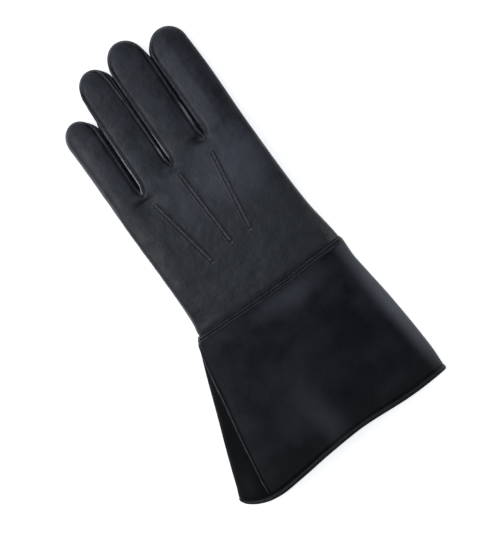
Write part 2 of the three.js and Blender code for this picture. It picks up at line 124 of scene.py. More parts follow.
SIDES = Table(
    "y left right",
    (-5, -62.4, 60.6), (2, -62.4, 60.6), (7, -61.4, 60.2), (13, -60.8, 59.4), (22, -60.6, 58.0),
    (34, -60.6, 56.2), (60, -61.2, 54.6), (90, -62.1, 53.8), (117, -62.4, 53.4), (150, -63.0, 53.6),
    (163, -63.4, 53.3), (185, -63.4, 52.3),
)
WRIST_SEAM = Table("x y", (-65, 0.2), (-10, 0.1), (10, 0.3), (35, 2.0), (62, 3.0))
HEIGHTS = Table(
    "y back under side",
    (-5, 24.5, 4.5, 13.5), (30, 24.5, 4.5, 13.5), (60, 23.6, 3.8, 13.0), (90, 21.8, 2.4, 12.0),
    (110, 19.6, 0.8, 10.4), (125, 17.6, 0.0, 8.8), (145, 15.8, 0.0, 7.5), (165, 15.2, 0.0, 7.2),
    (209, 14.8, 0.0, 7.2),
)
SEAMS = Table("past back palm", (0, 15.0, 5.2), (14, 13.4, 4.6), (32, 12.0, 4.2), (55, 11.6, 4.2))
# How far each finger's crest lies towards its little-finger side
LEAN = [0.05, 0.3, 0.36, 0.34]
WEB_BLEND = (-4, 5)
FLAT_LEFT, FLAT_RIGHT, ROUND_RIGHT = 6.8, 3.6, 2.15
SEAM_CLOSES = (8, 0.2)
TIP_FULLNESS = 0.8

THUMB_ROOT, THUMB_TIP = Vector((52, 29)), Vector((-24, 97))
THUMB_LENGTH = (THUMB_TIP - THUMB_ROOT).length
THUMB_ALONG = (THUMB_TIP - THUMB_ROOT).normalized()
THUMB_ACROSS = Vector((-THUMB_ALONG.y, THUMB_ALONG.x))
THUMB_HEIGHT, THUMB_CLEAR = 7.2, 0.35
THUMB_ROOT_HALF, THUMB_TIP_HALF = 14.8, 14.0
THUMB_ROOT_ROUND, THUMB_TIP_ROUND = 15, 17
THUMB_PRESS = (18, 36)
THUMB_HOLE_AT, THUMB_HOLE_LONG, THUMB_HOLE_WIDE = 34, 21, 10.5


def swell(t, power):
    """Height of a rounded section, 1 in its middle and 0 at its sides."""
    return (1 - min(1, abs(t)) ** power) ** (1 / power)


def web_y(finger, t):
    left = WEBS[finger - 1][1] if finger > 0 else LITTLE_WEB
    right = WEBS[finger][1] if finger < 3 else INDEX_WEB
    return lerp(left, right, (t + 1) / 2)


def is_outer(finger, t):
    """Whether that side of a finger is a side of the whole hand."""
    return (finger == 0 and t < 0) or (finger == 3 and t > 0)


def side_x(finger, side, y):
    """x of a finger's left (-1) or right (1) side, or of its web line on down the hand."""
    if is_outer(finger, side):
        return SIDES.read("left" if side < 0 else "right", y)
    web_x, web_at, wrist_x = WEBS[finger + (side + 1) // 2 - 1]
    if y <= web_at:
        return lerp(wrist_x, web_x, (y - HAND_END) / (web_at - HAND_END))
    shape = FINGERS[finger]
    root, end = shape["left" if side < 0 else "right"]
    straight = lerp(root, end, (y - web_at) / (shape["tip"] - shape["round"] - web_at))
    opened = min(1, (y - web_at) / WEB_OPENS)
    return lerp(web_x, straight, opened ** 0.7)


def palm_floor(x, y):
    """Height at which the palm lies: low beside the thumb, and on top of it where it lies beneath."""
    away = Vector((x, y)) - THUMB_ROOT
    along = min(THUMB_LENGTH - THUMB_TIP_ROUND, max(THUMB_ROOT_ROUND, away.dot(THUMB_ALONG)))
    pressed = 1 - smooth((away - THUMB_ALONG * along).length, *THUMB_PRESS)
    return lerp(HEIGHTS.read("under", y), THUMB_HEIGHT + THUMB_CLEAR, pressed)


def hand_height(face, finger, x, y, t, narrow):
    """Height of the back or the palm side at a place on a finger or its part of the hand."""
    shape = FINGERS[finger]
    power = PALM_ROUND if face < 0 else BACK_ROUND
    crest = HEIGHTS.read("back", y) if face > 0 else palm_floor(x, y)
    side = HEIGHTS.read("side", y)
    left, right = SIDES.read("left", y), SIDES.read("right", y)
    over = (2 * x - left - right) / (right - left)
    flat = PALM_ROUND
    if face > 0:
        flat = lerp(BACK_ROUND, FLAT_LEFT if over < 0 else FLAT_RIGHT, smooth(y, 2, 42))
    whole = side + (crest - side) * swell(over, flat)
    past = y - web_y(finger, t)
    start, tip = shape["tip"] - shape["round"], shape["tip"]
    closing = smooth(y, start - SEAM_CLOSES[0], tip - SEAM_CLOSES[1] * shape["round"])
    inner_seam = lerp(SEAMS.read("back" if face > 0 else "palm", past), side, closing)
    seam = side if is_outer(finger, t) else inner_seam
    leaned = t + LEAN[finger] * (1 - t * t) if face > 0 else t
    if face > 0 and leaned > 0 and finger > 0:
        power = ROUND_RIGHT
    single = seam + (crest - seam) * swell(leaned, power) * narrow ** TIP_FULLNESS
    height = lerp(whole, single, smooth(past, *WEB_BLEND))
    return height if face > 0 else max(height, 0.0)


def hand_point(face, finger, along, t):
    """A place on the hand or a finger.

    along is 0 at the wrist, 1 at the webs, 2 where the tip starts and 3 at its end; t runs across,
    from -1 on the little-finger side to 1 on the thumb side.
    """
    shape = FINGERS[finger]
    start = shape["tip"] - shape["round"]
    web = web_y(finger, t)
    narrow = 1.0
    if along <= 1:
        y = lerp(HAND_END, web, along)
    elif along <= 2:
        y = lerp(web, start, along - 1)
    else:
        angle = (along - 2) * math.pi / 2
        y, narrow = start + shape["round"] * math.sin(angle), math.cos(angle)
    left, right = (side_x(finger, side, min(y, start)) for side in (-1, 1))
    x = (left + right) / 2 + (right - left) / 2 * narrow * t
    return Vector((x, y, hand_height(face, finger, x, y, t, narrow)))


# ---- Small shapes of worn leather ----

# Soft folds and dents, each a long soft bell: x, y, half length and width, turn in degrees, lift
FOLDS = [
    (-41, 101.2, 6.5, 2.6, -4, -1.9), (-39, 95.5, 9, 6, -6, -1.1),
    (-9, 109.4, 4.5, 1.6, 8, -1.2), (-9, 106.4, 5, 1.6, 8, 0.4),
    (18.8, 115.6, 6, 2.7, -20, -2.7), (13, 121.5, 6, 2.4, -18, 0.7),
    (50, 20, 14, 3.0, -38, 0.5), (44, 12, 12, 2.6, -30, -0.4),
    (30, 84, 16, 5.0, 25, 0.35), (-48, 70, 5, 22, 6, 0.3), (8, 20, 24, 6, 4, 0.3),
    (-30, 28, 18, 5, -12, -0.35), (36, 60, 7, 16, 8, -0.3), (-18, 84, 12, 4, 30, -0.3),
]
CUFF_FOLDS = [
    (-11, -94, 12, 34, 4, 1.3), (10, -60, 16, 44, -6, -0.7), (-50, -70, 12, 40, 18, 0.5),
    (-28, -112, 3.2, 6, 0, -0.7), (0, -113.5, 3, 5, 0, -0.6), (38, -104, 12, 10, 0, 0.5),
    (-44, -18, 5, 14, 20, -0.5), (20, -16, 6, 15, -12, 0.5), (48, -30, 8, 22, -14, -0.5),
]


def folded(folds, x, y):
    lift = 0.0
    for fold_x, fold_y, long, wide, turn, height in folds:
        dx, dy = x - fold_x, y - fold_y
        c, s = math.cos(math.radians(turn)), math.sin(math.radians(turn))
        along, across = (dx * c + dy * s) / long, (dy * c - dx * s) / wide
        if abs(along) < 3 and abs(across) < 3:
            lift += height * math.exp(-along * along - across * across)
    return lift


def wavy(x, y, size, seed=0.0):
    """Gentle unevenness of that size, from -1 to 1."""
    return noise.noise(Vector((x / size, y / size, seed)))


def hand_worn(x, y):
    return (folded(FOLDS, x, y) + 0.34 * wavy(x, y, 27) + 0.2 * wavy(x, y, 12, 3.1)
            + 0.09 * wavy(x, y, 6, 8.3))


# ---- Building ----

def grid(bm, columns, rows, where):
    """A net of quads: where(column, row) gives each of its corners in the measuring frame."""
    made = bmesh.ops.create_grid(bm, x_segments=columns - 1, y_segments=rows - 1, size=0.5)
    for v in made["verts"]:
        column = round((v.co.x + 0.5) * (columns - 1))
        row = round((v.co.y + 0.5) * (rows - 1))
        v.co = where(column, row)
    return made["verts"]


def closed(bm):
    """Closes a net's seams and poles, and turns its faces outwards."""
    bmesh.ops.remove_doubles(bm, verts=bm.verts[:], dist=1e-4)
    bmesh.ops.dissolve_degenerate(bm, edges=bm.edges[:], dist=1e-5)
    bmesh.ops.recalc_face_normals(bm, faces=bm.faces[:])


def shown(name, data):
    thing = bpy.data.objects.new(name, data)
    bpy.context.scene.collection.objects.link(thing)
    return thing


def finish_piece(name, bm, materials, nodes=(), wall=None):
    """Turns a mesh into a smooth piece in its place, with a wall's thickness if it has one."""
    for v in bm.verts:
        v.co = place(v.co)
    for f in bm.faces:
        f.smooth = True
    mesh = bpy.data.meshes.new(name)
    bm.to_mesh(mesh)
    bm.free()
    piece = shown(name, mesh)
    for material in materials:
        mesh.materials.append(material)
    if wall:
        solid = piece.modifiers.new("wall", "SOLIDIFY")
        solid.thickness = wall * MM
        solid.offset = -1
        solid.material_offset = 1
    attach(piece, "root")
    if nodes:
        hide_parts(*nodes)


def drape(tree, x, y, face=BACK):
    """The place and the outward way of a skin straight above or below a point of the plan."""
    start = Vector((x, y, 80 * face))
    hit, way, _, _ = tree.ray_cast(start, Vector((0, 0, -face)))
    if hit is None:
        hit, way, _, _ = tree.find_nearest(Vector((x, y, MIDDLE_LEVEL)))
    if way.z * face < 0:
        way = -way
    return hit, way


def draped(tree, spots, face=BACK):
    """Those places of the plan laid on a skin, and the outward ways there."""
    hits = [drape(tree, spot[0], spot[1], face) for spot in spots]
    return [hit for hit, _ in hits], [way for _, way in hits]


def even(points, ways, pitch):
    """The same line in even steps of about a pitch, with its outward ways, and its length."""
    lengths = [0.0]
    for a, b in zip(points, points[1:]):
        lengths.append(lengths[-1] + (b - a).length)
    count = max(2, round(lengths[-1] / pitch))
    line, out, k = [], [], 0
    for step in range(count + 1):
        at = lengths[-1] * step / count
        while k < len(points) - 2 and lengths[k + 1] < at:
            k += 1
        span = lengths[k + 1] - lengths[k]
        share = (at - lengths[k]) / span if span else 0
        line.append(points[k].lerp(points[k + 1], share))
        out.append(ways[k].lerp(ways[k + 1], share).normalized())
    return line, out, lengths[-1]


def frames(line, ways):
    """Tangent, sideways and outward directions along a line that lies on a skin."""
    out = []
    last = len(line) - 1
    for k, point in enumerate(line):
        tangent = (line[min(last, k + 1)] - line[max(0, k - 1)]).normalized()
        near = ways[max(0, k - 2):k + 3]
        way = sum(near, Vector()).normalized()
        side = tangent.cross(way).normalized()
        out.append((point, tangent, side, side.cross(tangent).normalized()))
    return out


def sweep(bm, line, ways, profile, size, round_profile=True):
    """A strip along a line on a skin. profile has (side, up) corners; size(share) scales them."""
    run = frames(line, ways)
    last = len(run) - 1
    count = len(profile) + (1 if round_profile else 0)

    def where(column, row):
        point, _, side, up = run[column]
        across, lift = profile[row % len(profile)]
        grown = size(column / last)
        return point + side * across * grown + up * lift * grown

    return grid(bm, len(run), count, where)


def sides_of(bm, made, columns, profile):
    """The faces of a sweep, each with how far to the side its profile's corners lie."""
    bm.verts.index_update()
    first = made[0].index
    for f in {f for v in made for f in v.link_faces}:
        rows = [(v.index - first) // columns for v in f.verts]
        yield f, [profile[row % len(profile)][0] for row in rows]


# ---- Leather, thread and raw edges ----

def feed(tree, node, inputs):
    """Sets a node's inputs, each given as a number, a colour or another node's output."""
    for name, value in inputs.items():
        if isinstance(value, bpy.types.NodeSocket):
            tree.links.new(value, node.inputs[name])
        else:
            node.inputs[name].default_value = value


def add(tree, kind, inputs, **settings):
    node = tree.nodes.new("ShaderNode" + kind)
    for name, value in settings.items():
        setattr(node, name, value)
    feed(tree, node, inputs)
    return node


def cleared(owner):
    """The empty node tree of a material or a world."""
    owner.use_nodes = True
    owner.node_tree.nodes.clear()
    return owner.node_tree


def node_tree(name):
    material = bpy.data.materials.new(name)
    tree = cleared(material)
    shader = add(tree, "BsdfPrincipled", {})
    add(tree, "OutputMaterial", {"Surface": shader.outputs["BSDF"]})
    return material, tree, shader, add(tree, "TexCoord", {}).outputs["Object"]


def noise_node(tree, coords, scale, detail, roughness):
    inputs = {"Vector": coords, "Scale": scale, "Detail": detail, "Roughness": roughness}
    return add(tree, "TexNoise", inputs).outputs["Fac"]


def ranged(tree, value, low, high, from_low=0.0, from_high=1.0, shape="LINEAR"):
    limits = {"From Min": from_low, "From Max": from_high, "To Min": low, "To Max": high}
    node = add(tree, "MapRange", {"Value": value, **limits}, interpolation_type=shape)
    return node.outputs["Result"]


def mixed(tree, share, dark, light):
    """Between two colours, each given as numbers or as another node's output."""
    dark, light = ((*c, 1) if isinstance(c, tuple) else c for c in (dark, light))
    return add(tree, "Mix", {0: share, 6: dark, 7: light}, data_type="RGBA").outputs[2]


def bumped(tree, height, distance, strength, before=None):
    inputs = {"Height": height, "Distance": distance, "Strength": strength}
    if before is not None:
        inputs["Normal"] = before
    return add(tree, "Bump", inputs).outputs["Normal"]


# A patch fades out at this many of its half lengths and widths
PATCH_REACH = 1.7


def soft_patch(tree, coords, x, y, long, wide, turn, amount):
    """A soft oval patch in the plan, in millimetres and degrees: amount in its middle, 0 outside."""
    oval = add(tree, "Mapping", {
        "Vector": coords, "Location": place((x, y, MIDDLE_LEVEL)),
        "Rotation": (0, 0, math.radians(turn)), "Scale": (long * MM, wide * MM, 1),
    }, vector_type="TEXTURE")
    away = add(tree, "VectorMath", {0: oval.outputs["Vector"]}, operation="LENGTH")
    return ranged(tree, away.outputs["Value"], amount, 0, 0, PATCH_REACH, "SMOOTHSTEP")


def joined(tree, operation, a, b):
    return add(tree, "Math", {0: a, 1: b}, operation=operation).outputs[0]


def leather(name, dark, light, gloss, cloud, specular, fades=(1.0, 1.0), along=(-0.045, -0.15),
            relief=1.0, sharp=0.18, patches=(), puckers=0.0, faded=None):
    """Smooth glove leather: cloudy finish, soft creases and a fine pebbled grain.

    fades scales the clouds' lightness between the two places along Y that `along` gives, in metres;
    where it changes along the glove it paints light and shade. patches are places painted lighter or
    darker for light and shade; puckers is how far sewing gathers the skin, in metres; faded is the dark
    colour where the dye has worn greyer, near the hem.
    """
    material, tree, shader, coords = node_tree(name)
    clouds = ranged(tree, noise_node(tree, coords, cloud, 4, 0.6), 0, 1, 0.5 - sharp, 0.5 + sharp)
    y = add(tree, "SeparateXYZ", {0: coords}).outputs["Y"]
    tone = joined(tree, "MULTIPLY", clouds, ranged(tree, y, *fades, *along))
    for patch in patches:
        tone = joined(tree, "ADD", tone, soft_patch(tree, coords, *patch))
    if faded:
        dark = mixed(tree, ranged(tree, y, 0, 1, *FADED_ALONG), dark, faded)
    dull = noise_node(tree, coords, cloud * 1.7, 4, 0.6)
    swells = bumped(tree, noise_node(tree, coords, 100, 3, 0.55), 0.0014 * relief, 0.6)
    if puckers:
        swells = bumped(tree, noise_node(tree, coords, 620, 2, 0.5), puckers, 0.8, swells)
    creases = bumped(tree, noise_node(tree, coords, 260, 5, 0.6), 0.00035 * relief, 0.35, swells)
    pebbles = add(tree, "TexVoronoi", {"Vector": coords, "Scale": 1500, "Smoothness": 0.6},
                  feature="SMOOTH_F1")
    feed(tree, shader, {
        "Base Color": mixed(tree, tone, dark, light), "Specular IOR Level": specular,
        "Roughness": ranged(tree, dull, *gloss, 0.3, 0.7),
        "Normal": bumped(tree, pebbles.outputs["Distance"], 0.00012, 0.35, creases),
    })
    return material


def flesh_side(name, dark, light):
    """The rough inner side of the leather: matt and short-napped."""
    material, tree, shader, coords = node_tree(name)
    nap = noise_node(tree, coords, 900, 5, 0.7)
    feed(tree, shader, {
        "Base Color": mixed(tree, ranged(tree, nap, 0, 1, 0.3, 0.7), dark, light),
        "Roughness": 0.92, "Specular IOR Level": 0.2, "Normal": bumped(tree, nap, 0.0002, 0.5),
    })
    return material


def thread(name, colour):
    material, tree, shader, coords = node_tree(name)
    twist = add(tree, "TexWave", {"Vector": coords, "Scale": 900, "Distortion": 1.5},
                bands_direction="DIAGONAL").outputs["Fac"]
    feed(tree, shader, {
        "Base Color": mixed(tree, twist, colour, tuple(2.2 * c for c in colour)),
        "Roughness": 0.75, "Specular IOR Level": 0.06, "Normal": bumped(tree, twist, 0.00008, 0.6),
    })
    return material


FADED_ALONG = (-0.128, -0.156)
# Painted light and shade: lighter and darker places of the finish that stand in for the light and shade
# on the glove as it lies, the dark ones below the webs for the shade in their creases. x, y, half length
# and width, turn, amount
HAND_PAINTED_LIGHT = [
    (34, 150, 34, 8, 90, 0.85), (24, 86, 28, 22, 0, 0.95), (0, 6, 62, 8, 0, -0.12),
    (-56, 70, 36, 6, 90, -0.25), (-52, 140, 20, 7, 90, 0.2), (14, 160, 30, 5, 90, -0.08),
    (-20, 80, 20, 9, 90, 0.36), (-44, 8, 16, 8, 0, -0.15), (-39, 103, 7, 2.6, -4, -0.4),
    (18, 118.5, 5, 3, -20, -0.4),
]
# Painted light and shade on the cuff, with a painted highlight as the paler strip down its thumb side
CUFF_PAINTED_LIGHT = [
    (-22, -96, 24, 9, 100, 0.245), (6, -13, 26, 7, 0, 0.33), (-32, -64, 15, 12, 90, 0.06),
    (-58, -18, 18, 8, 90, -0.12), (18, -70, 36, 22, 90, -0.06), (-6, -36, 40, 10, 0, -0.07),
    (30, -106, 16, 6, 0, 0.075), (-42, -84, 20, 12, 90, 0.075), (65.8, -54, 66, 8, 95.5, 1.0),
    (-62, -113, 22, 8, 0, -0.12),
]
# A painted highlight low on the gusset's outer edge
GUSSET_PAINTED_LIGHT = [(-94, -107, 13, 6, 70, 0.4)]
# Painted highlights where the finger seams' edges catch the light
EDGE_PAINTED_HIGHLIGHTS = [
    (-8.4, 127, 9.5, 0.7, 90, 0.75), (-11.2, 126, 4, 0.6, 90, 0.4), (20.6, 137.5, 8, 0.7, 90, 0.45),
]
# The hand's leather: its clouds lighten from the middle of the back towards the webs, and its patches
# lighten and darken it, both painted light and shade.
HAND_SKIN = leather(
    "hand_leather", (0.0018, 0.0036, 0.0064), (0.0340, 0.0365, 0.0470), (0.38, 0.52), 70, 0.46,
    (0.155, 0.45), (0.0, 0.07), sharp=0.15, patches=HAND_PAINTED_LIGHT)
POINT_SKIN = leather(
    "raised_point_leather", (0.008, 0.009, 0.011), (0.021, 0.0225, 0.0262), (0.34, 0.46), 150, 0.55,
    puckers=0.0004)
BAND_SKIN = leather(
    "wrist_band_leather", (0.003, 0.0035, 0.0046), (0.0135, 0.0146, 0.0172), (0.36, 0.48), 120, 0.5,
    puckers=0.0011)
WALL_SKIN = leather(
    "side_wall_leather", (0.027, 0.030, 0.040), (0.065, 0.070, 0.086), (0.5, 0.6), 110, 0.3)
# The cuff's leather: its clouds darken from the wrist towards the hem and its patches lighten and darken
# it, all painted light and shade, with a painted highlight down the thumb side.
CUFF_SKIN = leather(
    "cuff_leather", (0.0012, 0.0016, 0.0040), (0.0660, 0.0712, 0.0815), (0.38, 0.50), 32, 0.125,
    (0.194, 0.081), relief=0.5, sharp=0.14, patches=CUFF_PAINTED_LIGHT, faded=(0.0010, 0.0019, 0.0018))
# The gusset's leather, darker and duller than the cuff's: painted shade for the dark reflected in its
# tilted side; its patch is a painted highlight.
GUSSET_SKIN = leather(
    "gusset_leather", (0.0026, 0.0030, 0.0033), (0.0140, 0.0152, 0.0152), (0.42, 0.54), 40, 0.04,
    (0.35, 0.3), patches=GUSSET_PAINTED_LIGHT)
HEM_SKIN = leather(
    "hem_leather", (0.003, 0.0035, 0.0036), (0.0085, 0.0094, 0.0096), (0.36, 0.48), 90, 0.26,
    puckers=0.0005)
# The seam edges' own finish is dark; its light colour shows only in its painted highlights, where the
# edges catch the light.
EDGE_SKIN = leather(
    "seam_edges", (0.013, 0.0145, 0.0175), (0.41, 0.41, 0.425), (0.3, 0.4), 200, 0.6,
    (0.035, 0.035), patches=EDGE_PAINTED_HIGHLIGHTS, puckers=0.0003)
# A painted highlight: the bright length of the little-ring seam's edge where it catches the light,
# fading out towards the fingertips.
HIGHLIGHT_PAINTED_EDGE = leather(
    "seam_edges_painted_highlight", (0.055, 0.057, 0.060), (0.56, 0.565, 0.58), (0.3, 0.4), 160, 0.8,
    (1.0, 0.08), (0.096, 0.112), puckers=0.0002)
GUSSET_EDGE = leather(
    "gusset_seam_edges", (0.006, 0.0066, 0.0078), (0.038, 0.041, 0.046), (0.34, 0.46), 170, 0.45,
    (1.0, 0.5), (-0.08, -0.15), puckers=0.0004)
INSIDE = flesh_side("leather_inside", (0.045, 0.045, 0.048), (0.075, 0.075, 0.080))
# The knots' thread is painted lighter: a painted glint
PAINTED_GLINT_THREAD = thread("thread_end_painted_glint", (0.10, 0.10, 0.105))
THREAD = thread("black_thread", (0.0035, 0.0037, 0.0045))


# ---- The hand: one piece of leather folded on the index side ----

FINGER_COLUMNS = {BACK: 36, PALM: 26}
HAND_ROWS, FINGER_ROWS, TIP_ROWS = 86, 56, 14
HAND_PACE = 1.35
FINGER_PACE = 1.4
# The sunk line of stitching beside the back's finger seams: how far in, how deep and wide, and where
# along the finger it fades in and out
GROOVE_IN, GROOVE_DEEP, GROOVE_WIDE = 1.45, 0.8, 0.5
GROOVE_FADES_IN, GROOVE_FADES_OUT = (0.98, 1.03), (2.3, 2.7)
# The wrist: how far the skin puckers at the cuff's edge, and how far it sinks under it
WRIST_PUCKER, WRIST_SUNK = 0.22, 0.9


def hand_along(row):
    if row <= HAND_ROWS:
        return 1 - (1 - row / HAND_ROWS) ** HAND_PACE
    if row <= HAND_ROWS + FINGER_ROWS:
        return 1 + ((row - HAND_ROWS) / FINGER_ROWS) ** FINGER_PACE
    return 2 + (row - HAND_ROWS - FINGER_ROWS) / TIP_ROWS


def edge_calm(finger, along, t):
    """0 at an edge of the leather, where it is sewn, and 1 further in."""
    sewn = 1.0 if is_outer(finger, t) else smooth(along, 0.97, 1.03)
    return lerp(1, min(1, 1.6 * (1 - abs(t)) ** 0.5), sewn)


def slit_groove(finger, along, t, y):
    """The sunk line of stitching along a finger's back seams."""
    if is_outer(finger, t):
        return 0.0
    half = (side_x(finger, 1, y) - side_x(finger, -1, y)) / 2
    from_edge = half * (1 - abs(t))
    sunk = GROOVE_DEEP * bell(from_edge - GROOVE_IN, GROOVE_WIDE)
    fade = smooth(along, *GROOVE_FADES_IN) * (1 - smooth(along, *GROOVE_FADES_OUT))
    return (0.06 * bell(from_edge - 3.4, 1.1) - sunk) * fade


def hand_skin():
    bm = bmesh.new()
    for face in (BACK, PALM):
        columns = FINGER_COLUMNS[face]
        for finger in range(len(FINGERS)):
            def where(column, row):
                t = -math.cos(math.pi * column / columns)
                along = hand_along(row)
                point = hand_point(face, finger, along, t)
                if face == BACK:
                    calm = edge_calm(finger, along, t) * min(1, (3 - along) * 3)
                    above = point.y - WRIST_SEAM.read("y", point.x)
                    calm *= smooth(above, 0.5, 9)
                    point.z += (hand_worn(point.x, point.y) * calm
                                + slit_groove(finger, along, t, point.y))
                    point.z += (WRIST_PUCKER * wavy(point.x, point.y, 4.5, 6.1) * bell(above - 3, 3)
                                - WRIST_SUNK * (1 - smooth(above, -1, 3)))
                else:
                    point.z += 0.35 * (1 + wavy(point.x, point.y, 18, 7.7)) * edge_calm(finger, along, t)
                return point
            made = grid(bm, columns + 1, HAND_ROWS + FINGER_ROWS + TIP_ROWS + 1, where)
            if face == PALM:
                bmesh.ops.reverse_faces(bm, faces=list({f for v in made for f in v.link_faces}))
    return bm


def open_thumb_hole(bm, low, high):
    """Cuts the oval where the thumb goes in, and rounds its rim."""
    def from_centre(point):
        away = Vector((point.x, point.y)) - THUMB_ROOT
        return Vector(((away.dot(THUMB_ALONG) - THUMB_HOLE_AT) / THUMB_HOLE_LONG,
                       away.dot(THUMB_ACROSS) / THUMB_HOLE_WIDE))

    def is_inside(middle):
        return low < middle.z < high and from_centre(middle).length < 1

    inside = [f for f in bm.faces if is_inside(f.calc_center_median())]
    rim = {v for f in inside for v in f.verts if any(g not in inside for g in v.link_faces)}
    bmesh.ops.delete(bm, geom=inside, context="FACES")
    for v in rim:
        if v.is_valid and v.is_boundary:
            spot = from_centre(v.co).normalized()
            plan = (THUMB_ROOT + THUMB_ALONG * (THUMB_HOLE_AT + spot.x * THUMB_HOLE_LONG)
                    + THUMB_ACROSS * spot.y * THUMB_HOLE_WIDE)
            v.co.x, v.co.y = plan


hand = hand_skin()
# The hand's nets meet at the webs' lines, at the fold on the index side and at the tips
bmesh.ops.remove_doubles(hand, verts=hand.verts[:], dist=0.01)
hand_tree = BVHTree.FromBMesh(hand)
open_thumb_hole(hand, 0, 12)
finish_piece("hand", hand, [HAND_SKIN, INSIDE], ["hand_back", "hand_palm"],
             HAND_LEATHER)


# ---- Fourchettes: the side walls between the fingers ----

FOURCHETTE_LEVELS, FOURCHETTE_STEPS = 13, 60
# The strip sinks in under the back's seam and meets the next finger's lower down
WALL_SHAPE = Table(
    "level out", (0, 0), (0.12, 0.7), (0.3, 1), (0.5, 0.92), (0.7, 0.66), (0.86, 0.44), (0.95, 0.22),
    (1, 0),
)
FOURCHETTE_END = 2.55


def side_wall(finger, gap):
    """The strip between a finger and the next one."""
    alongs = [1 + (k / FOURCHETTE_STEPS) ** FINGER_PACE * (FOURCHETTE_END - 1)
              for k in range(FOURCHETTE_STEPS + 1)]
    stations = [(finger, along, 1) for along in reversed(alongs[1:])]
    stations += [(finger + 1, along, -1) for along in alongs]
    bm = bmesh.new()
    both_end = min(FINGERS[f]["tip"] - FINGERS[f]["round"] for f in (finger, finger + 1))

    def where(column, row):
        owner, along, t = stations[column]
        upper, lower = hand_point(BACK, owner, along, t), hand_point(PALM, owner, along, t)
        level = row / (FOURCHETTE_LEVELS - 1)
        other = side_x(2 * finger + 1 - owner, -t, upper.y)
        beside = 1 - smooth(upper.y, both_end, both_end + 11)
        out = (abs(other - upper.x) / 2 + 0.15) * beside * WALL_SHAPE.read("out", level)
        return Vector((upper.x + t * out, upper.y, lerp(lower.z, upper.z, level)))

    grid(bm, len(stations), FOURCHETTE_LEVELS, where)
    bmesh.ops.reverse_faces(bm, faces=bm.faces[:])
    finish_piece("side_wall_" + gap, bm, [WALL_SKIN, INSIDE], ["fourchette_" + gap],
                 FOURCHETTE_LEATHER)


for finger, gap in enumerate(("little_ring", "ring_middle", "middle_index")):
    side_wall(finger, gap)


# ---- The thumb ----

THUMB_COLUMNS, THUMB_ROWS = 44, 52
# The straight part of the thumb, as shares of its rows
THUMB_BODY = (0.22, 0.78)


def thumb_skin():
    middle = THUMB_HEIGHT / 2
    root, tip = THUMB_BODY

    def where(column, row):
        angle = 2 * math.pi * column / THUMB_COLUMNS
        share = row / THUMB_ROWS
        narrow = 1.0
        if share < root:
            turn = (1 - share / root) * math.pi / 2
            along, narrow = THUMB_ROOT_ROUND * (1 - math.sin(turn)), math.cos(turn)
        elif share > tip:
            turn = (share - tip) / (1 - tip) * math.pi / 2
            along = THUMB_LENGTH - THUMB_TIP_ROUND + THUMB_TIP_ROUND * math.sin(turn)
            narrow = math.cos(turn)
        else:
            straight = (share - root) / (tip - root)
            along = lerp(THUMB_ROOT_ROUND, THUMB_LENGTH - THUMB_TIP_ROUND, straight)
        half = lerp(THUMB_ROOT_HALF, THUMB_TIP_HALF, along / THUMB_LENGTH) * narrow
        rise = middle * narrow ** 0.6
        c, s = math.cos(angle), math.sin(angle)
        across = math.copysign(abs(c) ** (2 / BACK_ROUND), c) * half
        lift = math.copysign(abs(s) ** (2 / BACK_ROUND), s) * rise
        plan = THUMB_ROOT + THUMB_ALONG * along + THUMB_ACROSS * across
        return Vector((plan.x, plan.y, middle + lift))

    bm = bmesh.new()
    grid(bm, THUMB_COLUMNS + 1, THUMB_ROWS + 1, where)
    closed(bm)
    return bm


thumb = thumb_skin()
open_thumb_hole(thumb, THUMB_HEIGHT / 2, 20)
finish_piece("thumb_pouch", thumb, [HAND_SKIN, INSIDE], ["thumb"], HAND_LEATHER)


# ---- The cuff and its gusset ----

CUFF = Table(
    "y left right back under side",
    (-126, -105.2, 70.8, 30.6, 0.6, 14.4), (-114, -105.0, 70.6, 30.4, 0.6, 14.3),
    (-104, -101.8, 70.8, 30.2, 0.0, 14.2), (-82, -94.4, 69.6, 29.4, 0.0, 13.8),
    (-52, -83.6, 66.8, 28.2, 0.0, 13.4), (-28, -75.2, 63.6, 27.2, 0.0, 13.2),
    (-12, -69.2, 61.8, 26.7, 1.2, 13.4), (2, -64.2, 62.0, 26.6, 2.4, 13.5),
)
HEM = Table(
    "x y", (-106.3, -114.8), (-103, -118.4), (-96, -122.6), (-86, -125.6), (-78, -126.2),
    (-60, -124.6), (-30, -121.0), (0, -118.9), (40, -120.3), (71.8, -118.8),
)
GUSSET = Table(
    "y width", (-126, 20.2), (-118, 20.1), (-114, 20.4), (-110, 19.8), (-104, 18.4), (-95, 16.6),
    (-76, 12.7), (-50, 7.7), (-25, 2.6), (-7, 0.0),
)
CUFF_AT_WRIST, CUFF_AT_HEM = (-64.2, 62.0), (-106.3, 71.8)
CUFF_LONG = 120
HEM_FLOOR = 1.2
CUFF_LAP = 1.0
CUFF_EDGE = 3.4
LAP_RISE = (0.0, 14.0)


